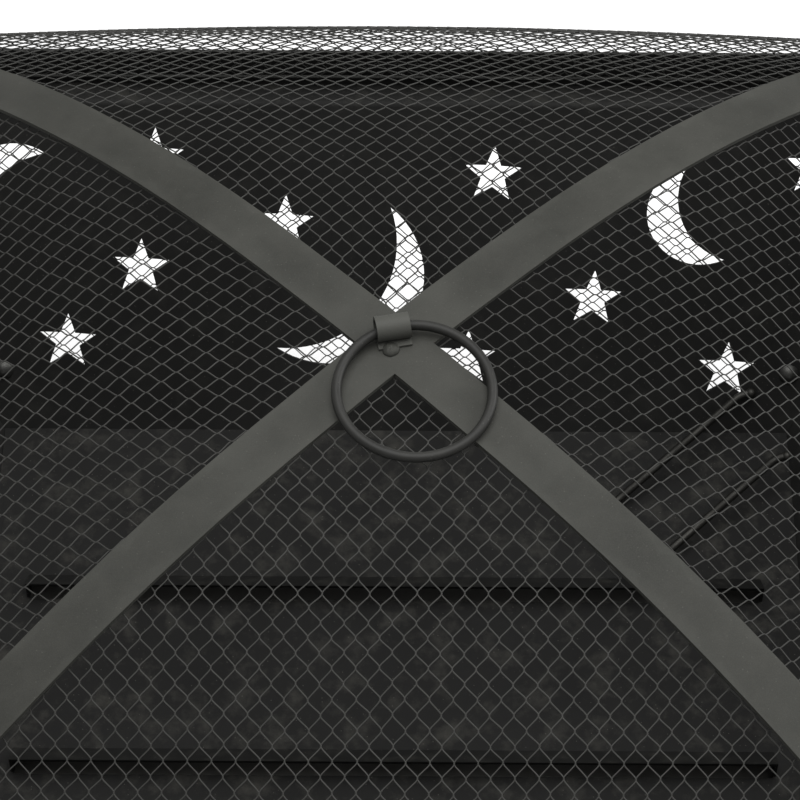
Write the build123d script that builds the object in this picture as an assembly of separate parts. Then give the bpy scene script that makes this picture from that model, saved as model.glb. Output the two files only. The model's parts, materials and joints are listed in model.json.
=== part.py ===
from build123d import *
import math
import os

# A square steel fire pit that stands on the ground: a tapered pan of four pierced walls, each lined
# behind with wire mesh, on four folded legs, a louvred grate inside it, a loose wire lifter lying
# on the grate, and a domed spark screen with a carrying ring. Millimetres, +Z up. The origin is on
# the ground, under the middle of the pan. The front is -Y.

# ---- driving dimensions -----------------------------------------------------------------------
overall_width = 685.0        # over the rim flange
overall_height = 540.0       # ground to the top of the ring lug
sheet = 1.5                  # pan, grate and band sheet
leg_sheet = 2.0
strap_sheet = 2.0
fit_gap = 0.05               # between faces that are bolted or riveted together
mitre_gap = 0.07             # each side of a mitre

# pan
opening_half = 316.3         # inside of the wall at the rim
grate_half = 217.0           # inside of the wall at the grate's top face
wall_rise = 158.5            # grate's top face to the rim
pan_depth_below_grate = 16.5
rim_lip_drop = 11.0
rim_bend_radius = 3.0        # along the middle of the sheet

# lid
dome_rise = 200.8            # rim to the top of the cross straps
lug_height = 11.0
band_inner_half = 329.5
band_height = 24.6
band_corner_flat = 24.0      # width of the flat across each corner of the band
band_stand_off = 0.3
strap_width = 22.8
crown_radius = 1085.0        # along a diagonal: flat crown, rounder shoulder, straighter skirt
crown_reach = 86.8
shoulder_radius = 543.0
shoulder_reach = 271.0
skirt_radius = 1105.0
skirt_reach = 447.0
strap_foot_height = 4.0      # above the rim
screen_sheet = 1.6           # thickness of the plain shell that stands for the wire mesh
screen_gap = 0.3
screen_start = 10.0
screen_reach = 311.0         # where the mesh starts to turn down inside the band
screen_turn_drop = 22.0
screen_foot_height = 6.0     # above the rim

# lug and ring
lug_width = 14.2
lug_sheet = 1.2
lug_x = -1.2
lug_y = 4.0
lug_yaw = 12.0
lug_foot_length = 7.2        # from the curl's axis
weld_forward = 7.5           # middle of the weld bead, from the curl's axis
weld_aside = -2.2            # and from the lug's middle
weld_radius = 3.8
weld_height = 2.3
ring_outer_diameter = 69.0
ring_wire = 4.4
ring_yaw = 17.0
ring_droop = 3.6             # degrees below level when it lies on the straps
ring_drop_in_lug = 0.7

# legs
leg_flange = 40.0
leg_top_slant = 100.0        # how far up the wall the leg reaches, along the slope
foot_half = 236.0
bolt_slants = (34.0, 84.0)   # along the slope, above the grate
bolt_from_corner = 19.0
bolt_diameter = 6.0
bolt_head_radius = 5.6
bolt_head_height = 3.2
bolt_thread_beyond = 7.0
nut_across_flats = 10.0
nut_height = 5.0

# grate
grate_edge_gap = 0.6
grate_foot_gap = 0.3
louvre_pitch = 106.2
louvre_middle_y = -1.0
louvre_half_length = 194.0
louvre_run = 14.4
louvre_rise = 12.8

# wire lifter
lifter_wire = 4.4
lifter_spacing = 42.0
lifter_bend_x = 134.4        # centre of its bend, in plan
lifter_bend_y = 150.3
lifter_heading = 40.9
lifter_tilt = 10.1
lifter_long_rail = 88.0
lifter_short_rail = 74.0
lifter_tip_turn = 38.0
lifter_tip_bend = 15.0
lifter_ball = 2.9
lifter_clearance = 0.4       # under its bend

# cut-outs: across the wall from its middle, and up its slope from the grate
star_radius = 16.6
star_waist = 0.41
star_turn = -3.0
stars = [(-262, 122), (-180.1, 50.7), (-139, 94), (-130, 156.3), (-60.6, 119.4), (51.3, 147.4),
         (38.8, 42.5), (106.9, 77.3), (181.3, 36.4), (223.6, 152.1), (264, 122)]
# across, up the slope, outer radius, heading of the round side, half angle, thickness
moons = [(-36.4, 89.8, 51.3, -37.6, 87.9, 21.2), (164.7, 127.1, 30.0, 199.8, 96.3, 17.9),
         (-205.0, 135.6, 28.0, 130.9, 77.6, 14.8)]

# mesh lining behind each wall, beside the legs and wider above them
lining_sheet = 1.0           # thickness of the plain shell that stands for the wire mesh
lining_low = 6.0             # along the slope, above the grate
lining_step = 104.0
lining_high = 178.0
lining_from_corner = 38.0
lining_corner_gap = 2.0

# ---- worked-out places ------------------------------------------------------------------------
apex_z = overall_height - lug_height
rim_z = apex_z - dome_rise
grate_z = rim_z - wall_rise
pan_z = grate_z - pan_depth_below_grate
lean = math.atan2(opening_half - grate_half, wall_rise)
wall_across = sheet / math.cos(lean)
leg_across = leg_sheet / math.cos(lean)
rim_half = overall_width / 2
band_outer_half = band_inner_half + sheet
corner_flat_reach = (2 * band_outer_half - band_corner_flat / math.sqrt(2)) / math.sqrt(2)
side_turns = {"back": 0, "left": 90, "front": 180, "right": 270}
corner_turns = {"back_right": 0, "back_left": 90, "front_left": 180, "front_right": 270}
side_view = Plane(origin=(0, 0, 0), x_dir=(0, 1, 0), z_dir=(1, 0, 0))


def save(node, solid):
    """Write one node to its own STEP file."""
    export_step(solid, f"parts/{node}.step")


def wall_half(z):
    """Inside half width of the pan at a height."""
    return grate_half + (z - grate_z) * math.tan(lean)


def square_frustum(low_z, low_half, high_z, high_half):
    """A solid whose square section grows from one height to another."""
    low = Pos(0, 0, low_z) * Rectangle(2 * low_half, 2 * low_half)
    high = Pos(0, 0, high_z) * Rectangle(2 * high_half, 2 * high_half)
    return loft([low, high], ruled=True)


def back_wedge(reach, gap):
    """The quarter of space behind both diagonals, as a tall wedge."""
    outline = make_face(Polyline((0, gap), (reach, reach + gap), (-reach, reach + gap), close=True))
    return extrude(outline, overall_height + 10)


def dome_head(radius, height):
    """A low dome that sits on z = 0."""
    ball = (radius**2 + height**2) / (2 * height)
    slice_box = Pos(0, 0, height / 2) * Box(4 * radius, 4 * radius, height)
    return (Pos(0, 0, height - ball) * Sphere(ball)) & slice_box


# ---- pan --------------------------------------------------------------------------------------
def star_face():
    """A five-pointed star, one point nearly straight up."""
    points = []
    for corner in range(10):
        reach = star_radius if corner % 2 == 0 else star_radius * star_waist
        angle = math.radians(90 + star_turn + 36 * corner)
        points.append((reach * math.cos(angle), reach * math.sin(angle)))
    return make_face(Polyline(*points, close=True))


def moon_face(radius, half_angle, thickness):
    """A crescent whose round side faces +X."""
    tip_x = radius * math.cos(math.radians(half_angle))
    tip_y = radius * math.sin(math.radians(half_angle))
    outside = ThreePointArc((tip_x, -tip_y), (radius, 0), (tip_x, tip_y))
    inside = ThreePointArc((tip_x, tip_y), (radius - thickness, 0), (tip_x, -tip_y))
    return make_face([outside, inside])


def wall_frame():
    """On the back wall's inside face: X across, Y up the slope, Z into the pan."""
    inward = (0, -math.cos(lean), math.sin(lean))
    return Plane(origin=(0, grate_half, grate_z), x_dir=(1, 0, 0), z_dir=inward).location


def bolt_places():
    """Bolt places on one wall: across, up the slope."""
    places = []
    for slant in bolt_slants:
        across = grate_half + slant * math.sin(lean) - bolt_from_corner
        places += [(-across, slant), (across, slant)]
    return places


def wall_panel():
    """The back wall with its cut-outs, its rim flange and its turned-down lip."""
    half_sheet = sheet / 2
    foot_drop = 2 * sheet
    rise_out = wall_across / 2
    edge_line = FilletPolyline(
        (wall_half(pan_z - foot_drop) + rise_out, pan_z - foot_drop),
        (wall_half(rim_z - half_sheet) + rise_out, rim_z - half_sheet),
        (rim_half - half_sheet, rim_z - half_sheet),
        (rim_half - half_sheet, rim_z - rim_lip_drop), radius=rim_bend_radius)
    panel = side_view * extrude(trace(edge_line, sheet), rim_half, both=True)
    panel &= Pos(0, 0, pan_z + fit_gap) * back_wedge(rim_half + 1, mitre_gap)
    frame = wall_frame()
    for across, up in stars:
        panel -= frame * Pos(across, up, 0) * extrude(star_face(), 6, both=True)
    for across, up, radius, heading, half_angle, thickness in moons:
        crescent = extrude(moon_face(radius, half_angle, thickness), 6, both=True)
        panel -= frame * Pos(across, up, 0) * Rot(0, 0, heading) * crescent
    for across, up in bolt_places():
        panel -= frame * Pos(across, up, 0) * Cylinder(bolt_diameter / 2 + 0.15, 12)
    return panel


def lining_panel():
    """The back wall's mesh lining, as a plain shell behind the cut-outs."""
    right = []
    for up, inset in ((lining_low, lining_from_corner), (lining_step, lining_from_corner),
                      (lining_step, lining_corner_gap), (lining_high, lining_corner_gap)):
        right.append((grate_half + up * math.sin(lean) - inset, up))
    left = [(-across, up) for across, up in reversed(right)]
    outline = make_face(Polyline(*right, *left, close=True))
    return wall_frame() * Pos(0, 0, -sheet - fit_gap) * extrude(outline, -lining_sheet)


def make_pan():
    """Four lined walls and the closed bottom."""
    panel = wall_panel()
    lining = lining_panel()
    for side, turn in side_turns.items():
        save(f"wall_{side}", Rot(0, 0, turn) * panel)
        save(f"lining_{side}", Rot(0, 0, turn) * lining)
    bottom = 2 * (wall_half(pan_z - sheet) + wall_across)
    save("pan_bottom", Pos(0, 0, pan_z - sheet / 2) * Box(bottom, bottom, sheet))


# ---- legs and their bolts ---------------------------------------------------------------------
def angle_section(z, corner):
    """An angle section at a height, its outer corner at (corner, corner)."""
    inner = corner - leg_across
    end = corner - leg_flange
    outline = Polyline((corner, corner), (end, corner), (end, inner), (inner, inner),
                       (inner, end), (corner, end), close=True)
    return Pos(0, 0, z) * make_face(outline)


def corner_bolt_frames():
    """Frames of the bolts at the back right corner, Z pointing into the pan."""
    frames = []
    for across, up in bolt_places():
        turn = 0 if across > 0 else -90
        frames.append(Rot(0, 0, turn) * wall_frame() * Pos(across, up, 0))
    return frames


def leg_solid():
    """The back right leg: an angle that follows the pan's corner, then stands on the ground."""
    stand_off = wall_across + fit_gap + leg_across
    knee_z = pan_z - sheet
    top_z = grate_z + leg_top_slant * math.cos(lean)
    foot = angle_section(0, foot_half)
    knee = angle_section(knee_z, wall_half(knee_z) + stand_off)
    top = angle_section(top_z, wall_half(top_z) + stand_off)
    leg = loft([foot, knee], ruled=True) + loft([knee, top], ruled=True)
    pad_side = leg_flange - leg_across / 2
    pad_middle = foot_half - leg_across / 2 - pad_side / 2
    leg += Pos(pad_middle, pad_middle, leg_sheet / 2) * Box(pad_side, pad_side, leg_sheet)
    for frame in corner_bolt_frames():
        leg -= frame * Cylinder(bolt_diameter / 2 + 0.15, 30)
    return leg


def make_legs():
    """Four legs, their dome-head bolts and their nuts."""
    leg = leg_solid()
    grip = sheet + fit_gap + leg_sheet
    shank_length = grip + bolt_thread_beyond
    shank = Pos(0, 0, 0.1 - shank_length / 2) * Cylinder(bolt_diameter / 2, shank_length)
    bolt = Pos(0, 0, 0.03) * dome_head(bolt_head_radius, bolt_head_height) + shank
    hexagon = RegularPolygon(nut_across_flats / 2, 6, major_radius=False)
    nut = Pos(0, 0, -grip - 0.05) * extrude(hexagon, -nut_height)
    nut -= Cylinder(bolt_diameter / 2 + 0.05, 60)
    bolts = []
    nuts = []
    for corner, turn in corner_turns.items():
        save(f"leg_{corner}", Rot(0, 0, turn) * leg)
        for frame in corner_bolt_frames():
            bolts.append(Rot(0, 0, turn) * frame * bolt)
            nuts.append(Rot(0, 0, turn) * frame * nut)
    save("leg_bolts", Compound(bolts))
    save("leg_nuts", Compound(nuts))


# ---- grate and lifter -------------------------------------------------------------------------
def make_grate():
    """A louvred tray whose skirts stand on the pan's bottom."""
    top_half = grate_half - grate_edge_gap
    low_z = pan_z + grate_foot_gap
    low_half = top_half - (grate_z - low_z) * math.tan(lean)
    under_z = grate_z - sheet
    under_half = top_half - sheet * math.tan(lean) - wall_across
    inside_low_z = low_z - 1
    inside_low_half = under_half - (under_z - inside_low_z) * math.tan(lean)
    tray = square_frustum(low_z, low_half, grate_z, top_half)
    tray -= square_frustum(inside_low_z, inside_low_half, under_z, under_half)
    climb = math.atan2(louvre_rise, louvre_run)
    skin_up = sheet / math.cos(climb)
    for row in (-1, 0, 1):
        cut_y = louvre_middle_y + row * louvre_pitch
        foot_y = cut_y + louvre_run
        ramp = make_face(Polyline((cut_y, under_z), (cut_y, grate_z + louvre_rise),
                                  (foot_y, grate_z), (foot_y, under_z), close=True))
        front_y = cut_y - 1
        ramp_under_z = grate_z + louvre_rise - skin_up + math.tan(climb)
        meet_z = under_z - 1
        meet_y = front_y + (ramp_under_z - meet_z) / math.tan(climb)
        hollow = make_face(Polyline((front_y, meet_z), (front_y, ramp_under_z),
                                    (meet_y, meet_z), close=True))
        tray += side_view * extrude(ramp, louvre_half_length + sheet, both=True)
        tray -= side_view * extrude(hollow, louvre_half_length, both=True)
    save("grate_plate", tray)


def make_lifter():
    """A loose wire handle bent to a U, its two ball tips resting up in the pan's corner."""
    half = lifter_spacing / 2
    turn = math.radians(lifter_tip_turn)
    run_on = lifter_tip_bend * math.sin(turn)
    aside = lifter_tip_bend * (1 - math.cos(turn))
    middle_on = lifter_tip_bend * math.sin(turn / 2)
    middle_aside = lifter_tip_bend * (1 - math.cos(turn / 2))

    def tip_bend(side, rail):
        return ThreePointArc((rail, side), (rail + middle_on, side - middle_aside),
                             (rail + run_on, side - aside))

    path = Wire([tip_bend(half, lifter_long_rail),
                 Line((lifter_long_rail, half), (0, half)),
                 ThreePointArc((0, half), (-half, 0), (0, -half)),
                 Line((0, -half), (lifter_short_rail, -half)),
                 tip_bend(-half, lifter_short_rail)])
    section = Plane(origin=path.position_at(0), z_dir=path.tangent_at(0)) * Circle(lifter_wire / 2)
    lifter = sweep(section, path=path)
    for side, rail in ((half, lifter_long_rail), (-half, lifter_short_rail)):
        lifter += Pos(rail + run_on, side - aside, 0) * Sphere(lifter_ball)
    rise = half * math.sin(math.radians(lifter_tilt))
    bend_z = grate_z + lifter_wire / 2 + lifter_clearance + rise
    place = Pos(lifter_bend_x, lifter_bend_y, bend_z) * Rot(0, 0, lifter_heading)
    save("grate_lifter", place * Rot(0, -lifter_tilt, 0) * lifter)


# ---- lid --------------------------------------------------------------------------------------
def strap_drop(t):
    """How far the strap's upper face is below the apex, along a diagonal, and its slope angle."""
    sine = min(t, crown_reach) / crown_radius
    drop = crown_radius * (1 - math.sqrt(1 - sine**2))
    for start, end, radius in ((crown_reach, shoulder_reach, shoulder_radius),
                               (shoulder_reach, skirt_reach, skirt_radius)):
        if t > start:
            next_sine = sine + (min(t, end) - start) / radius
            drop += radius * (math.sqrt(1 - sine**2) - math.sqrt(1 - next_sine**2))
            sine = next_sine
    return drop, math.asin(sine)


def strap_face_point(t, depth):
    """A point under the strap's upper face, in the diagonal's plane."""
    drop, slope = strap_drop(t)
    return (t - depth * math.sin(slope), apex_z - drop - depth * math.cos(slope))


def band_outline(half):
    """A square with a flat across each corner, parallel to the band's outside."""
    flat_reach = corner_flat_reach - (band_outer_half - half)
    cut = 2 * half - math.sqrt(2) * flat_reach
    points = []
    for turn in range(4):
        angle = math.radians(90 * turn)
        for x, y in ((half, half - cut), (half - cut, half)):
            points.append((x * math.cos(angle) - y * math.sin(angle),
                           x * math.sin(angle) + y * math.cos(angle)))
    return make_face(Polyline(*points, close=True))


def strap_arm(heading):
    """One arm of the cross, from the apex to its foot over the band's corner flat."""
    steps = 14
    foot_out = corner_flat_reach + fit_gap + strap_sheet
    foot_z = rim_z + strap_foot_height
    slope = strap_drop(skirt_reach)[1]
    bend = (foot_out - skirt_reach) / (1 - math.sin(slope))
    bend_start = strap_face_point(skirt_reach, 0)
    centre = (bend_start[0] - bend * math.sin(slope), bend_start[1] - bend * math.cos(slope))
    middle = (slope + math.pi / 2) / 2

    def on_bend(radius, angle):
        return (centre[0] + radius * math.sin(angle), centre[1] + radius * math.cos(angle))

    inner = bend - strap_sheet
    flat = strap_width * 0.75
    upper = [(flat, apex_z)]
    under = [(flat, apex_z - strap_sheet)]
    for step in range(1, steps):
        upper.append(strap_face_point(skirt_reach * step / steps, 0))
        under.append(strap_face_point(skirt_reach * step / steps, strap_sheet))
    upper.append(on_bend(bend, slope))
    under.append(on_bend(inner, slope))
    down = (math.cos(slope), -math.sin(slope))
    outline = [
        Line((0, apex_z), upper[0]),
        Spline(*upper, tangents=((1, 0), down)),
        ThreePointArc(upper[-1], on_bend(bend, middle), on_bend(bend, math.pi / 2)),
        Line(on_bend(bend, math.pi / 2), (foot_out, foot_z)),
        Line((foot_out, foot_z), (foot_out - strap_sheet, foot_z)),
        Line((foot_out - strap_sheet, foot_z), on_bend(inner, math.pi / 2)),
        ThreePointArc(on_bend(inner, math.pi / 2), on_bend(inner, middle), under[-1]),
        Spline(*under, tangents=((1, 0), down)),
        Line(under[0], (0, apex_z - strap_sheet)),
        Line((0, apex_z - strap_sheet), (0, apex_z)),
    ]
    angle = math.radians(heading)
    upright = Plane(origin=(0, 0, 0), x_dir=(math.cos(angle), math.sin(angle), 0),
                    z_dir=(math.sin(angle), -math.cos(angle), 0))
    return upright * extrude(make_face(outline), strap_width / 2, both=True)


def lug_frame():
    """On top of the cross, under the lug's curl: X along the curl."""
    return Pos(lug_x, lug_y, apex_z) * Rot(0, 0, lug_yaw)


def rivet(head_radius, head_height, shank_radius, grip):
    """A rivet whose head sits on z = 0 and whose set end is under the grip."""
    shank = Pos(0, 0, -grip / 2) * Cylinder(shank_radius, grip + 0.4)
    set_end = Pos(0, 0, -grip - 0.8) * Cylinder(shank_radius * 1.5, 1.5)
    return Pos(0, 0, 0.03) * dome_head(head_radius, head_height) + shank + set_end


def make_band_and_cross():
    """The lid's band, the cross of two straps, and the rivets that join them at the corners."""
    band = extrude(band_outline(band_outer_half), band_height)
    band -= extrude(band_outline(band_inner_half), band_height)
    band = Pos(0, 0, rim_z + band_stand_off) * band
    cross = strap_arm(45)
    for heading in (135, 225, 315):
        cross += strap_arm(heading)
    rivets = []
    for heading in (45, 135, 225, 315):
        seat = Pos(corner_flat_reach + fit_gap + strap_sheet, 0, rim_z + band_height / 2)
        frame = Rot(0, 0, heading) * seat * Rot(0, 90, 0)
        band -= frame * Cylinder(2.5, 12)
        cross -= frame * Cylinder(2.5, 12)
        rivets.append(frame * rivet(4.2, 2.0, 2.4, sheet + fit_gap + strap_sheet))
    save("lid_band", band)
    save("lid_cross", cross)
    save("corner_rivets", Compound(rivets))


def make_screens():
    """Four triangular wire-mesh panels, as plain shells under the straps."""
    steps = 12
    low_z = rim_z + screen_foot_height
    edge = band_inner_half - screen_gap
    inner_edge = edge - screen_sheet

    def under_straps(step, depth):
        y = screen_start + (screen_reach - screen_start) * step / steps
        t, z = strap_face_point(y * math.sqrt(2), depth)
        return (t / math.sqrt(2), z)

    upper = [under_straps(step, strap_sheet + screen_gap) for step in range(steps + 1)]
    under = [under_straps(step, strap_sheet + screen_gap + screen_sheet)
             for step in range(steps + 1)]
    turn_z = upper[-1][1] - screen_turn_drop
    bulge = screen_turn_drop / 8
    middle = ((upper[-1][0] + edge) / 2 + bulge, (upper[-1][1] + turn_z) / 2 + bulge)
    inner_middle = (middle[0] - screen_sheet * 0.8, middle[1] - screen_sheet * 0.8)
    outline = [
        Spline(*upper),
        ThreePointArc(upper[-1], middle, (edge, turn_z)),
        Line((edge, turn_z), (edge, low_z)),
        Line((edge, low_z), (inner_edge, low_z)),
        Line((inner_edge, low_z), (inner_edge, turn_z)),
        ThreePointArc((inner_edge, turn_z), inner_middle, under[-1]),
        Spline(*under),
        Line(under[0], upper[0]),
    ]
    slab = side_view * extrude(make_face(outline), band_inner_half, both=True)
    corner_reach = skirt_reach - 6
    corner_cut = Rot(0, 0, 45) * Box(2 * corner_reach, 2 * corner_reach, 3 * overall_height)
    panel = slab & back_wedge(band_inner_half, 2 * screen_gap) & corner_cut
    for side, turn in side_turns.items():
        save(f"screen_{side}", Rot(0, 0, turn) * panel)


def make_lug_and_ring():
    """The curled lug, the weld bead over its foot, and the ring that hangs in it."""
    outer = lug_height / 2
    foot = make_face(Polyline((-lug_foot_length, fit_gap), (0, fit_gap), (0, lug_sheet),
                              (-lug_foot_length, lug_sheet), close=True))
    curl = Pos(0, outer) * (Circle(outer - fit_gap) - Circle(outer - lug_sheet))
    lug = side_view * extrude(foot + curl, lug_width / 2, both=True)
    save("lid_lug", lug_frame() * lug)
    bead = Pos(weld_aside, -weld_forward, fit_gap) * dome_head(weld_radius, weld_height)
    foot_end = weld_radius - weld_forward + lug_foot_length + fit_gap
    bead -= Pos(0, foot_end / 2 - lug_foot_length - fit_gap, 0) * Box(
        lug_width, foot_end, 2 * (lug_sheet + fit_gap))
    save("lug_weld", lug_frame() * bead)
    mean = (ring_outer_diameter - ring_wire) / 2
    ring = Pos(0, -mean, 0) * Torus(mean, ring_wire / 2)
    pivot = Pos(lug_x, lug_y, apex_z + outer - ring_drop_in_lug)
    save("lid_ring", pivot * Rot(0, 0, ring_yaw) * Rot(ring_droop, 0, 0) * ring)


if __name__ == "__main__":
    os.makedirs("parts", exist_ok=True)
    make_pan()
    make_legs()
    make_grate()
    make_lifter()
    make_band_and_cross()
    make_screens()
    make_lug_and_ring()
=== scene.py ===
import json
import math

import bpy
import numpy as np
from mathutils import Matrix, Vector


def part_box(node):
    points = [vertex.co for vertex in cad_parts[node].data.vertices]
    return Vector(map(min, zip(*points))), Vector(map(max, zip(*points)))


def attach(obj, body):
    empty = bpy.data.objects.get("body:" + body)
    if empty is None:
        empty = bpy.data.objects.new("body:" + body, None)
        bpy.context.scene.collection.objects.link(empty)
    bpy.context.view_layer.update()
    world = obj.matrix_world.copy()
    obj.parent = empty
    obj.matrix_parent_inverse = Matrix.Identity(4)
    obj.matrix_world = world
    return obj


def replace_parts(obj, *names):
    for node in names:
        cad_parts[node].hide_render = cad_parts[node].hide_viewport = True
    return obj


# Looks for the square fire pit: real wire mesh in the spark screen and behind the cut-outs, a
# hand-bent ring, a rippled weld bead, bevelled sheet edges and procedural finishes. Everything is
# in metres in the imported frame: +Z up, the ground at 0, the front at -Y.

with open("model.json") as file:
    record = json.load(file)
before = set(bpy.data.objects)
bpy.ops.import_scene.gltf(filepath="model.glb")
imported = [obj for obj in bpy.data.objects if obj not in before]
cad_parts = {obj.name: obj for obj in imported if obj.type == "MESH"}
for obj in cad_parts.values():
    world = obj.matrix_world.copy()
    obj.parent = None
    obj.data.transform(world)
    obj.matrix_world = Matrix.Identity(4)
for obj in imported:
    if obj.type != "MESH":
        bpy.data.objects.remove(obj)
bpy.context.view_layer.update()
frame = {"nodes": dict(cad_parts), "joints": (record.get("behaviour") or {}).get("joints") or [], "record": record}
nodes = frame["nodes"]
MM = 0.001

# ---- places read from the frame ---------------------------------------------------------------
band_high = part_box("lid_band")[1]
rim_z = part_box("wall_back")[1].z
apex_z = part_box("lid_cross")[1].z
band_sheet = 1.5 * MM
band_inner = band_high.x - band_sheet
band_top = band_high.z
ring_joint = next(j for j in frame["joints"] if j["name"] == "ring_swing")
ring_pivot = Vector(ring_joint["pos_m"])
ring_yaw = math.atan2(-ring_joint["axis"][1], -ring_joint["axis"][0])

# ---- the strap's line, as the lid was rolled --------------------------------------------------
CROWN_RADIUS, CROWN_REACH = 1085 * MM, 86.8 * MM
SHOULDER_RADIUS, SHOULDER_REACH = 543 * MM, 271 * MM
SKIRT_RADIUS = 1105 * MM
STRAP_SHEET = 2 * MM


def strap_line(t):
    """Height and slope angle of the straps' upper face at a distance from the apex."""
    sine = min(t, CROWN_REACH) / CROWN_RADIUS
    drop = CROWN_RADIUS * (1 - math.sqrt(1 - sine**2))
    for start, end, radius in ((CROWN_REACH, SHOULDER_REACH, SHOULDER_RADIUS),
                               (SHOULDER_REACH, 1.0, SKIRT_RADIUS)):
        if t > start:
            next_sine = sine + (min(t, end) - start) / radius
            drop += radius * (math.sqrt(1 - sine**2) - math.sqrt(1 - next_sine**2))
            sine = next_sine
    return apex_z - drop, math.asin(sine)


# ---- mesh helpers -----------------------------------------------------------------------------
def new_piece(name, vertices, faces, body, material):
    """A mesh object from lists, riding on a body."""
    mesh = bpy.data.meshes.new(name)
    mesh.from_pydata([tuple(v) for v in vertices], [], [tuple(f) for f in faces])
    mesh.validate()
    mesh.update()
    mesh.polygons.foreach_set("use_smooth", [True] * len(mesh.polygons))
    piece = bpy.data.objects.new(name, mesh)
    bpy.context.scene.collection.objects.link(piece)
    piece.data.materials.append(material)
    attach(piece, body)
    return piece


def bevel(piece, width, segments=2, angle=35):
    """Softens the sheet's cut edges."""
    modifier = piece.modifiers.new("edges", "BEVEL")
    modifier.width = width
    modifier.segments = segments
    modifier.limit_method = "ANGLE"
    modifier.angle_limit = math.radians(angle)
    modifier.harden_normals = True
    return piece


def tubes(centres, normals, radii, sides):
    """Vertices and faces of many open-ended tubes at once.

    centres is (tubes, points, 3), normals the same, radii (tubes, points)."""
    count, points = centres.shape[:2]
    along = np.gradient(centres, axis=1)
    along /= np.linalg.norm(along, axis=2, keepdims=True)
    across = np.cross(along, normals)
    across /= np.linalg.norm(across, axis=2, keepdims=True)
    out = np.cross(across, along)
    angles = np.linspace(0, 2 * np.pi, sides, endpoint=False)
    ring = (across[:, :, None, :] * np.cos(angles)[None, None, :, None]
            + out[:, :, None, :] * np.sin(angles)[None, None, :, None])
    vertices = centres[:, :, None, :] + ring * radii[:, :, None, None]
    index = np.arange(count * points * sides).reshape(count, points, sides)
    turned = np.roll(index, -1, axis=2)
    faces = np.stack([index[:, :-1], turned[:, :-1], turned[:, 1:], index[:, 1:]], axis=-1)
    return vertices.reshape(-1, 3), faces.reshape(-1, 4)


def mesh_from_arrays(name, vertices, quads):
    """A mesh of quads only, made quickly."""
    mesh = bpy.data.meshes.new(name)
    mesh.vertices.add(len(vertices))
    mesh.vertices.foreach_set("co", np.asarray(vertices, np.float32).ravel())
    mesh.loops.add(quads.size)
    mesh.loops.foreach_set("vertex_index", quads.astype(np.int32).ravel())
    mesh.polygons.add(len(quads))
    mesh.polygons.foreach_set("loop_start", np.arange(0, quads.size, 4, dtype=np.int32))
    mesh.polygons.foreach_set("use_smooth", np.ones(len(quads), bool))
    mesh.update(calc_edges=True)
    return mesh


# ---- materials --------------------------------------------------------------------------------
class Shader:
    """A small helper that builds one Principled material from nodes."""

    def __init__(self, name):
        self.material = bpy.data.materials.new(name)
        self.material.use_nodes = True
        self.tree = self.material.node_tree
        self.surface = self.tree.nodes["Principled BSDF"]
        self.place = self.add("ShaderNodeTexCoord").outputs["Object"]

    def add(self, kind, **settings):
        node = self.tree.nodes.new(kind)
        for key, value in settings.items():
            setattr(node, key, value)
        return node

    def join(self, source, target):
        self.tree.links.new(source, target)

    def noise(self, scale, detail=3.0, roughness=0.55):
        node = self.add("ShaderNodeTexNoise")
        node.inputs["Scale"].default_value = scale
        node.inputs["Detail"].default_value = detail
        node.inputs["Roughness"].default_value = roughness
        self.join(self.place, node.inputs["Vector"])
        return node.outputs["Fac"]

    def ranged(self, value, low, high, to_low=0.0, to_high=1.0):
        node = self.add("ShaderNodeMapRange")
        for socket, number in (("From Min", low), ("From Max", high),
                               ("To Min", to_low), ("To Max", to_high)):
            node.inputs[socket].default_value = number
        self.join(value, node.inputs["Value"])
        return node.outputs["Result"]

    def math(self, operation, first, second):
        node = self.add("ShaderNodeMath", operation=operation)
        for socket, value in zip(node.inputs, (first, second)):
            if isinstance(value, (int, float)):
                socket.default_value = value
            else:
                self.join(value, socket)
        return node.outputs["Value"]

    def blend(self, amount, first, second):
        """A colour between two, each a colour or a socket."""
        node = self.add("ShaderNodeMix", data_type="RGBA")
        self.join(amount, node.inputs["Factor"])
        for socket, value in (("A", first), ("B", second)):
            target = [s for s in node.inputs if s.name == socket and s.type == "RGBA"][0]
            if isinstance(value, tuple):
                target.default_value = (*value, 1.0)
            else:
                self.join(value, target)
        return [s for s in node.outputs if s.type == "RGBA"][0]

    def specks(self, scale, size):
        """1 on small scattered spots."""
        node = self.add("ShaderNodeTexVoronoi")
        node.inputs["Scale"].default_value = scale
        self.join(self.place, node.inputs["Vector"])
        spot = self.ranged(node.outputs["Distance"], size, size * 0.5)
        red = self.add("ShaderNodeSeparateColor")
        self.join(node.outputs["Color"], red.inputs["Color"])
        chosen = self.ranged(red.outputs[0], 0.55, 0.7)
        return self.math("MULTIPLY", spot, chosen)

    def bump(self, height, strength, distance, normal=None):
        node = self.add("ShaderNodeBump")
        node.inputs["Strength"].default_value = strength
        node.inputs["Distance"].default_value = distance
        self.join(height, node.inputs["Height"])
        if normal:
            self.join(normal, node.inputs["Normal"])
        return node.outputs["Normal"]

    def facing_up(self):
        """1 on faces that look up, where dust lies."""
        geometry = self.add("ShaderNodeNewGeometry")
        split = self.add("ShaderNodeSeparateXYZ")
        self.join(geometry.outputs["Normal"], split.inputs["Vector"])
        return self.ranged(split.outputs["Z"], 0.35, 0.95)

    def edges(self, low, high):
        """1 along worn outside edges."""
        geometry = self.add("ShaderNodeNewGeometry")
        return self.ranged(geometry.outputs["Pointiness"], low, high)


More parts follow.
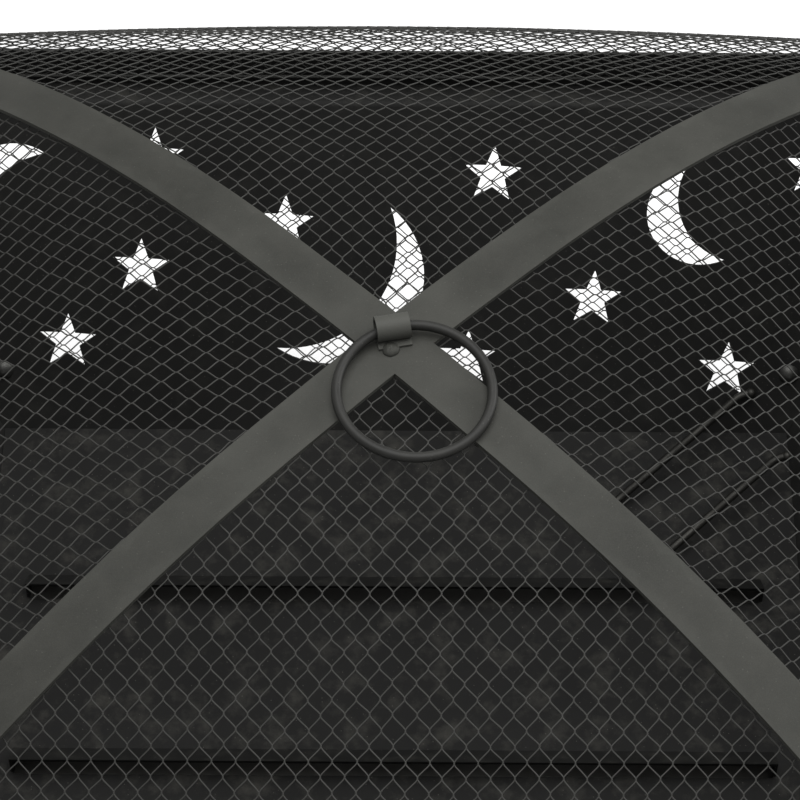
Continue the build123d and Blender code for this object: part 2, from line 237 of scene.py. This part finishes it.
def powder_coat(name, colour, roughness, specular=0.5, dust=0.25, dust_colour=(0.16, 0.155, 0.14),
                speckle=0.5, peel=0.25):
    """Baked powder coat: orange peel, fine pigment grain, thin dust and lighter worn edges."""
    shader = Shader(name)
    grain = shader.noise(2600, 2.0)
    mottling = shader.noise(9, 4.0)
    patches = shader.noise(38, 5.0, 0.65)
    darker = tuple(0.82 * c for c in colour)
    lighter = tuple(1.2 * c for c in colour)
    paint = shader.blend(shader.ranged(mottling, 0.3, 0.7), darker, lighter)
    paint = shader.blend(shader.ranged(grain, 0.42, 0.72, 0.0, 0.35), paint,
                         tuple(1.9 * c for c in colour))
    film = shader.math("MULTIPLY", shader.ranged(patches, 0.35, 0.8, 0.0, dust), shader.facing_up())
    paint = shader.blend(film, paint, dust_colour)
    spots = shader.math("MULTIPLY", shader.specks(520, 0.17), speckle)
    paint = shader.blend(spots, paint, tuple(1.5 * c for c in dust_colour))
    paint = shader.blend(shader.math("MULTIPLY", shader.edges(0.53, 0.62), 0.35), paint,
                         tuple(2.4 * c + 0.01 for c in colour))
    shader.join(paint, shader.surface.inputs["Base Color"])
    shine = shader.ranged(patches, 0.25, 0.8, roughness - 0.05, roughness + 0.09)
    shader.join(shine, shader.surface.inputs["Roughness"])
    orange_peel = shader.bump(shader.noise(720, 2.0), peel, 0.12 * MM)
    normal = shader.bump(shader.noise(6, 2.0), 0.18, 1.2 * MM, orange_peel)
    shader.join(normal, shader.surface.inputs["Normal"])
    shader.surface.inputs["Specular IOR Level"].default_value = specular
    return shader.material


def fire_black(name, colour, roughness, specular=0.35):
    """Matte stove paint with a trace of grey ash and faint heat tint."""
    shader = Shader(name)
    cloud = shader.noise(7, 5.0, 0.6)
    ash = shader.noise(60, 6.0, 0.7)
    paint = shader.blend(shader.ranged(cloud, 0.3, 0.72), tuple(0.8 * c for c in colour),
                         tuple(1.3 * c for c in colour))
    powder = shader.math("MULTIPLY", shader.ranged(ash, 0.5, 0.78, 0.0, 0.22), shader.facing_up())
    paint = shader.blend(powder, paint, (0.15, 0.145, 0.125))
    spots = shader.math("MULTIPLY", shader.specks(380, 0.13), 0.35)
    paint = shader.blend(spots, paint, (0.18, 0.17, 0.15))
    shader.join(paint, shader.surface.inputs["Base Color"])
    shader.join(shader.ranged(ash, 0.3, 0.75, roughness - 0.04, roughness + 0.1),
                shader.surface.inputs["Roughness"])
    fine = shader.bump(shader.noise(950, 3.0), 0.3, 0.1 * MM)
    shader.join(shader.bump(shader.noise(11, 2.0), 0.25, 1.0 * MM, fine),
                shader.surface.inputs["Normal"])
    shader.surface.inputs["Specular IOR Level"].default_value = specular
    return shader.material


def metal(name, colour, roughness):
    """Dull drawn or plated steel with fine scratches and darker oxide in patches."""
    shader = Shader(name)
    scratches = shader.noise(900, 3.0, 0.6)
    oxide = shader.noise(45, 5.0, 0.65)
    finish = shader.blend(shader.ranged(oxide, 0.35, 0.7), colour, tuple(0.55 * c for c in colour))
    finish = shader.blend(shader.ranged(scratches, 0.5, 0.8, 0.0, 0.3), finish,
                          tuple(min(1.0, 1.5 * c) for c in colour))
    shader.join(finish, shader.surface.inputs["Base Color"])
    shader.join(shader.ranged(oxide, 0.3, 0.75, roughness - 0.06, roughness + 0.14),
                shader.surface.inputs["Roughness"])
    shader.join(shader.bump(scratches, 0.25, 0.05 * MM), shader.surface.inputs["Normal"])
    shader.surface.inputs["Metallic"].default_value = 0.85
    return shader.material


finishes = {
    "pan_paint": fire_black("pan_paint", (0.0155, 0.0155, 0.0148), 0.6, specular=0.1),
    "leg_paint": powder_coat("leg_paint", (0.016, 0.016, 0.015), 0.5, specular=0.25, dust=0.1),
    "grate_paint": fire_black("grate_paint", (0.0115, 0.0115, 0.011), 0.62, specular=0.1),
    "lid_paint": powder_coat("lid_paint", (0.0085, 0.0085, 0.008), 0.52, specular=0.12, dust=0.04),
    "strap_paint": powder_coat("strap_paint", (0.032, 0.0324, 0.0285), 0.55, specular=0.12,
                               dust=0.12, speckle=0.12),
    "mesh_coating": powder_coat("mesh_coating", (0.037, 0.037, 0.0345), 0.5, specular=0.16,
                                dust=0.1, peel=0.1, speckle=0.1),
    "ring_paint": powder_coat("ring_paint", (0.0155, 0.0155, 0.0143), 0.45, specular=0.2,
                              dust=0.1, speckle=0.12),
    "rivets": powder_coat("rivets", (0.035, 0.035, 0.031), 0.48, specular=0.25, dust=0.1,
                          speckle=0.1),
    "lifter_wire": metal("lifter_wire", (0.045, 0.044, 0.040), 0.5),
    "fasteners": metal("fasteners", (0.08, 0.08, 0.075), 0.42),
}
# The pan bottom gets a light grey far paler than its real paint: painted light, standing in for the light and haze
# seen in the grate's slots.
pan_bottom_painted_light = fire_black("pan_bottom_painted_light", (0.17, 0.167, 0.157), 0.7, specular=0.1)
# The lug gets a lighter copy of the strap paint: painted light, making up for the light its curl catches
# differently from the straps.
lug_coat_painted_light = powder_coat("lug_coat_painted_light", (0.036, 0.0364, 0.0322), 0.52, specular=0.16, dust=0.12,
                        speckle=0.12)
node_slots = {entry["node"]: entry["material_slot"] for entry in frame["record"]["subparts"]}
for node, piece in nodes.items():
    piece.data.materials.clear()
    piece.data.materials.append(finishes[node_slots[node]])
# Painted light: the pan bottom takes the pale grey finish in place of its own paint.
nodes["pan_bottom"].data.materials[0] = pan_bottom_painted_light
# Painted light: the lug takes the lighter copy of the strap paint.
nodes["lid_lug"].data.materials[0] = lug_coat_painted_light
for node in nodes:
    if node.startswith(("wall_", "pan_", "leg_front", "leg_back", "grate_plate", "lid_band")):
        bevel(nodes[node], 0.35 * MM)
bevel(nodes["lid_cross"], 0.45 * MM, 3)
bevel(nodes["leg_nuts"], 0.5 * MM)


# ---- the wire mesh of the spark screen and the linings ----------------------------------------
CELL_ACROSS, CELL_DOWN = 9.5 * MM, 12.3 * MM
STRAND_RADIUS, STRAND_SIDES = 0.33 * MM, 5
BOND_LENGTH, BOND_RADIUS, BOND_SIDES = 1.3 * MM, 0.44 * MM, 4
HEM_RADIUS, HEM_SIDES = 0.9 * MM, 8
SCREEN_FOOT = rim_z + 7 * MM
BELOW_STRAP = STRAP_SHEET + 0.9 * MM
SKIRT_END = 309 * MM         # where the mesh starts to turn down at the corners
FULLEST = 301 * MM           # where the middle of a side stands highest over the straps' line
FULLNESS = 15.8 * MM
MESH_EDGE = band_inner - 1.3 * MM
CORNER_SUM = 0.6395          # X + Y where a panel stops, under the strap's bend
LINING_ACROSS, LINING_UP = 12.6 * MM, 9.2 * MM
LINING_STRAND_RADIUS = 0.3 * MM
LINING_BOND_LENGTH, LINING_BOND_RADIUS = 1.6 * MM, 0.42 * MM
LINING_REACH = 0.33          # the lattice is cut from a strip this far each side of the middle
LINING_STEP = 98 / 172       # where a lining widens above the legs, as a share of its height
LINING_FROM_CORNER, LINING_CORNER_GAP = 39 * MM, 3 * MM
GRATE_Z, GRATE_GAP = 169.7 * MM, 0.6 * MM    # the grate's top face, and its gap to the walls


def wall_half_width(z, lean):
    """Inside half width of the pan at a height."""
    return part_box("grate_plate")[1].y + GRATE_GAP + (z - GRATE_Z) * math.tan(lean)


def slope_point(m):
    """The mesh under a strap: distance out from the middle, and height."""
    height, angle = strap_line(m * math.sqrt(2))
    return m, height - BELOW_STRAP / math.cos(angle)


def corner_line():
    """The mesh's line next to the straps, from the apex to its foot inside the band."""
    points = [slope_point(m) for m in np.linspace(1 * MM, SKIRT_END, 80)]
    (m0, z0), (m1, z1) = points[-2:]
    slope = math.atan2(z0 - z1, m1 - m0)
    bend = (MESH_EDGE - m1) / (1 - math.sin(slope))
    centre = (m1 - bend * math.sin(slope), z1 - bend * math.cos(slope))
    for angle in np.linspace(slope, math.pi / 2, 16)[1:]:
        points.append((centre[0] + bend * math.sin(angle), centre[1] + bend * math.cos(angle)))
    points.append((MESH_EDGE, SCREEN_FOOT))
    return np.array(points)


def middle_line():
    """The mesh's fuller line at the middle of a side."""
    points = []
    for m in np.linspace(1 * MM, FULLEST, 80):
        share = (m / FULLEST)**2
        points.append((m, slope_point(m)[1] + FULLNESS * share * (3 - 2 * share) * 0.5
                       + FULLNESS * share * 0.5))
    start = np.array(points[-1])
    heading = start - np.array(points[-3])
    heading /= np.linalg.norm(heading)
    end = np.array([MESH_EDGE, band_top - 4 * MM])
    handles = [start, start + heading * 19 * MM, end + np.array([0, 23 * MM]), end]
    for u in np.linspace(0, 1, 18)[1:]:
        weights = [(1 - u)**3, 3 * u * (1 - u)**2, 3 * u**2 * (1 - u), u**3]
        points.append(sum(w * h for w, h in zip(weights, handles)))
    points.append((MESH_EDGE, SCREEN_FOOT))
    return np.array(points)


def along_line(line):
    """Lengths along a line from its foot, and the line from its foot."""
    rising = line[::-1]
    steps = np.linalg.norm(np.diff(rising, axis=0), axis=1)
    return np.concatenate([[0], np.cumsum(steps)]), rising


corner_lengths, corner_rising = along_line(corner_line())
middle_lengths, middle_rising = along_line(middle_line())
SCREEN_LENGTH = middle_lengths[-1]


def screen_surface(x, v):
    """Points of the back panel at x across and v up from its foot."""
    share = v / SCREEN_LENGTH
    corner = [np.interp(share * corner_lengths[-1], corner_lengths, corner_rising[:, i])
              for i in (0, 1)]
    middle = [np.interp(v, middle_lengths, middle_rising[:, i]) for i in (0, 1)]
    out = np.maximum(middle[0], 1 * MM)
    fullness = 1 - np.clip(np.abs(x) / out, 0, 1)**2
    y = corner[0] + (middle[0] - corner[0]) * fullness
    z = corner[1] + (middle[1] - corner[1]) * fullness
    wave = 0.35 * MM * (np.sin(x * 95 + v * 31) + np.sin(v * 120 - x * 47 + 1.7))
    free = np.clip((v - 60 * MM) / (60 * MM), 0, 1)
    return np.stack([x, y, z + wave * free * fullness], axis=-1)


def screen_normals(x, v):
    """Outward normals of the back panel."""
    step = 0.4 * MM
    across = screen_surface(x + step, v) - screen_surface(x - step, v)
    up = screen_surface(x, v + step) - screen_surface(x, v - step)
    normal = np.cross(up, across)
    return normal / np.linalg.norm(normal, axis=-1, keepdims=True)


def screen_limit(v):
    """Half width of the panel at v up from its foot, out to the middle of the straps."""
    out = screen_surface(np.zeros_like(v), v)[..., 1]
    return np.minimum(out - 1.2 * MM, CORNER_SUM - out)


def diamond_lattice(pitch_u, pitch_v, reach_u, reach_v, inside, seed):
    """Strand ends and bonds of diamond mesh; the bonds run along v."""
    rng = np.random.default_rng(seed)
    rows = np.arange(int(reach_v[0] / (pitch_v / 2)), int(reach_v[1] / (pitch_v / 2)))
    columns = np.arange(int(reach_u[0] / pitch_u) - 1, int(reach_u[1] / pitch_u) + 2)
    row, column = np.meshgrid(rows, columns, indexing="ij")
    u = (column + 0.5 * (row % 2)) * pitch_u + rng.normal(0, 0.012 * pitch_u, row.shape)
    v = row * pitch_v / 2 + rng.normal(0, 0.01 * pitch_v, row.shape)
    u += 0.05 * pitch_u * np.sin(v / pitch_v * 0.9 + seed)
    kept = inside(u, v)
    strands = []
    for side in (-1, 1):
        for r in range(len(rows) - 1):
            odd = rows[r] % 2
            shift = odd if side > 0 else odd - 1
            for c in range(1, len(columns) - 1):
                if kept[r, c] and kept[r + 1, c + shift]:
                    strands.append((u[r, c], v[r, c], u[r + 1, c + shift], v[r + 1, c + shift],
                                    side))
    return np.array(strands), np.stack([u[kept], v[kept]], axis=-1)


def lattice_tubes(strands, knots, surface, radius, bond, bond_radius):
    """Tubes along every strand and over every bond; surface gives points and normals."""
    u0, v0, u1, v1, side = strands.T
    low, high = v0 + 0.36 * bond, v1 - 0.36 * bond
    u = u0[:, None] + (u1 - u0)[:, None] * np.array([0.0, 0.17, 0.83, 1.0])
    v = low[:, None] + (high - low)[:, None] * np.array([0.0, 0.2, 0.8, 1.0])
    points, normals = surface(u, v)
    lift = side[:, None] * np.array([1.0, 0.4, -0.4, -1.0]) * 0.3 * radius
    points = points + normals * lift[..., None]
    parts = [tubes(points, normals, np.full(u.shape, radius), STRAND_SIDES)]
    u = np.repeat(knots[:, :1], 3, axis=1)
    v = knots[:, 1:] + np.array([-0.5, 0, 0.5]) * bond
    points, normals = surface(u, v)
    radii = np.tile(np.array([0.6, 1.0, 0.6]) * bond_radius, (len(knots), 1))
    parts.append(tubes(points, normals, radii, BOND_SIDES))
    return parts


def join_tubes(name, parts, turn, body):
    """One turned mesh object from several sets of tubes."""
    vertices, quads, count = [], [], 0
    for points, faces in parts:
        vertices.append(points)
        quads.append(faces + count)
        count += len(points)
    turned = np.concatenate(vertices) @ np.array(Matrix.Rotation(turn, 3, "Z")).T
    piece = bpy.data.objects.new(name, mesh_from_arrays(name, turned, np.concatenate(quads)))
    bpy.context.scene.collection.objects.link(piece)
    piece.data.materials.append(finishes["mesh_coating"])
    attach(piece, body)
    return piece


def make_screen(name, turn, seed, fan):
    """One panel of the spark screen: diamond mesh with a hem wire at its foot."""
    def spread(v):
        return 1 + fan * (SCREEN_LENGTH - 0.15 - v)

    def inside(x, v):
        return (np.abs(x) * spread(v) <= screen_limit(v)) & (v < SCREEN_LENGTH - 3 * MM)

    def surface(x, v):
        wide = x * spread(v)
        return screen_surface(wide, v), screen_normals(wide, v)

    strands, knots = diamond_lattice(CELL_ACROSS, CELL_DOWN, (-MESH_EDGE, MESH_EDGE),
                                     (0.5 * MM, SCREEN_LENGTH), inside, seed)
    parts = lattice_tubes(strands, knots, surface, STRAND_RADIUS, BOND_LENGTH, BOND_RADIUS)
    hem_x = np.linspace(-1, 1, 60)[None, :] * screen_limit(np.full(1, 1 * MM))[:, None]
    hem_v = np.full(hem_x.shape, 0.6 * MM)
    parts.append(tubes(screen_surface(hem_x, hem_v), screen_normals(hem_x, hem_v),
                       np.full(hem_x.shape, HEM_RADIUS), HEM_SIDES))
    return join_tubes(name, parts, turn, "lid")


def make_lining(name, turn, seed):
    """The mesh lining behind one wall's cut-outs, its diamonds lying on their side."""
    low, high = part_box("lining_back")
    rise = high.z - low.z
    run = high.y - low.y
    lean = math.atan2(run - 1 * MM, rise)
    length = math.hypot(run, rise) - 1 * MM
    step = LINING_STEP * length
    corner = wall_half_width(low.z, lean)

    def inside(up, across):
        half = corner + up * math.sin(lean)
        inset = np.where(up < step, LINING_FROM_CORNER, LINING_CORNER_GAP)
        return (up > 1 * MM) & (up < length - 1 * MM) & (np.abs(across) < half - inset)

    def surface(up, across):
        points = np.stack([across, low.y + 0.5 * MM + up * math.sin(lean),
                           low.z + 0.5 * MM + up * math.cos(lean)], axis=-1)
        normal = np.array([0, math.cos(lean), -math.sin(lean)])
        return points, np.broadcast_to(normal, points.shape)

    strands, knots = diamond_lattice(LINING_UP, LINING_ACROSS, (0, length),
                                     (-LINING_REACH, LINING_REACH), inside, seed)
    parts = lattice_tubes(strands, knots, surface, LINING_STRAND_RADIUS, LINING_BOND_LENGTH,
                          LINING_BOND_RADIUS)
    return join_tubes(name, parts, turn, "pit")


for order, (side_name, fan) in enumerate((("back", 0.4), ("left", 0.2), ("front", 0.0),
                                          ("right", 0.2))):
    turn = order * math.pi / 2
    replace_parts(make_screen(f"mesh_{side_name}", turn, 11 + order, fan), f"screen_{side_name}")
    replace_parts(make_lining(f"lining_mesh_{side_name}", turn, 21 + order), f"lining_{side_name}")


# ---- ring and weld bead -----------------------------------------------------------------------
RING_WIRE_RADIUS, RING_MEAN_RADIUS = 2.2 * MM, 32.3 * MM
BEAD_HALF_ACROSS, BEAD_HALF_ALONG = 3.75 * MM, 3.6 * MM
BEAD_BACK = 0.45 * MM        # its middle lies behind the middle of its node's box


def make_ring():
    """The round wire ring, hand bent, with a ground weld opposite the lug."""
    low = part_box("lid_ring")[0]
    around, sides = 128, 18
    tilt = math.asin((ring_pivot.z - RING_WIRE_RADIUS - low.z) / (2 * RING_MEAN_RADIUS))
    place = (Matrix.Translation(ring_pivot) @ Matrix.Rotation(ring_yaw, 4, "Z")
             @ Matrix.Rotation(tilt, 4, "X") @ Matrix.Translation((0, -RING_MEAN_RADIUS, 0)))
    vertices = []
    for i in range(around):
        angle = 2 * math.pi * i / around
        bent = 0.22 * math.sin(2 * angle + 0.6) + 0.12 * math.sin(3 * angle)
        radius = RING_MEAN_RADIUS + bent * MM
        weld = math.exp(-((angle - 1.2 * math.pi) / 0.035)**2)
        thick = RING_WIRE_RADIUS * (1 + 0.10 * weld + 0.006 * math.sin(7 * angle))
        for j in range(sides):
            turn = 2 * math.pi * j / sides
            out = radius + thick * math.cos(turn)
            vertices.append(place @ Vector((out * math.sin(angle), out * math.cos(angle),
                                            thick * math.sin(turn))))
    faces = [(i * sides + j, i * sides + (j + 1) % sides,
              (i + 1) % around * sides + (j + 1) % sides, (i + 1) % around * sides + j)
             for i in range(around) for j in range(sides)]
    ring = new_piece("ring", vertices, faces, "ring", finishes["ring_paint"])
    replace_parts(ring, "lid_ring")


def make_weld():
    """The weld bead that holds the lug's foot: a low lump with faint ripples."""
    low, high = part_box("lug_weld")
    centre = Vector(((low.x + high.x) / 2, (low.y + high.y) / 2 + BEAD_BACK, low.z))
    rings, sides = 12, 40
    vertices = []
    for i in range(rings + 1):
        share = i / rings
        reach = math.cos(share * math.pi / 2)
        for k in range(sides):
            turn = 2 * math.pi * k / sides
            ripple = 1 + 0.035 * math.sin(3 * turn + 1) + 0.02 * math.sin(7 * turn)
            x = BEAD_HALF_ACROSS * reach * ripple * math.cos(turn)
            y = BEAD_HALF_ALONG * reach * ripple * math.sin(turn)
            z = (high.z - low.z) * math.sin(share * math.pi / 2)
            z *= 1 + 0.05 * math.sin(x * 3600 + 0.6)
            vertices.append(centre + Vector((x, y, min(z, high.z - low.z))))
    faces = [(i * sides + k, i * sides + (k + 1) % sides,
              (i + 1) * sides + (k + 1) % sides, (i + 1) * sides + k)
             for i in range(rings) for k in range(sides)]
    return new_piece("lug_bead", vertices, faces, "lid", finishes["strap_paint"])


make_ring()
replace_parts(make_weld(), "lug_weld")
bevel(nodes["lid_lug"], 0.15 * MM, 2, 50)


# ---- floor, lights and camera -----------------------------------------------------------------
def make_floor():
    """A plain pale floor."""
    mesh = bpy.data.meshes.new("floor")
    half = 12.0
    mesh.from_pydata([(-half, -half, 0), (half, -half, 0), (half, half, 0), (-half, half, 0)], [],
                     [(0, 1, 2, 3)])
    floor = bpy.data.objects.new("floor", mesh)
    bpy.context.scene.collection.objects.link(floor)
    shader = Shader("floor")
    tone = shader.ranged(shader.noise(3, 2.0), 0.3, 0.7, 0.93, 0.95)
    colour = shader.add("ShaderNodeCombineColor")
    for socket in colour.inputs[:3]:
        shader.join(tone, socket)
    shader.join(colour.outputs["Color"], shader.surface.inputs["Base Color"])
    shader.surface.inputs["Roughness"].default_value = 0.8
    shader.surface.inputs["Specular IOR Level"].default_value = 0.2
    floor.data.materials.append(shader.material)


def add_light(name, place, aim, size, power):
    """A soft square light aimed at a point."""
    light = bpy.data.lights.new(name, "AREA")
    light.shape = "SQUARE"
    light.size = size
    light.energy = power
    holder = bpy.data.objects.new(name, light)
    holder.location = place
    holder.rotation_euler = (Vector(aim) - Vector(place)).to_track_quat("-Z", "Y").to_euler()
    bpy.context.scene.collection.objects.link(holder)


def make_camera():
    """The photographer's place: in front, high, looking down at the ring."""
    camera = bpy.data.cameras.new("camera")
    camera.lens = 136.3
    camera.sensor_width = 36.0
    holder = bpy.data.objects.new("camera", camera)
    down = math.radians(53.36)
    holder.location = (2.2 * MM, -771.5 * MM, 1526.4 * MM)
    holder.rotation_euler = (math.pi / 2 - down, 0, 0)
    holder.rotation_euler.rotate_axis("Z", math.radians(0.35))
    camera.clip_start, camera.clip_end = 0.05, 60
    bpy.context.scene.collection.objects.link(holder)
    bpy.context.scene.camera = holder


make_floor()
add_light("overhead", (0.1, 0.25, 2.9), (0, 0.1, 0.3), 2.6, 78)
add_light("right_side", (2.4, 1.0, 1.7), (0, 0, 0.4), 1.4, 42)
make_camera()
world = bpy.data.worlds.new("world")
bpy.context.scene.world = world
world.use_nodes = True
world.node_tree.nodes["Background"].inputs["Color"].default_value = (1.0, 1.0, 1.0, 1.0)
world.node_tree.nodes["Background"].inputs["Strength"].default_value = 0.4
bpy.context.scene.view_settings.view_transform = "Standard"
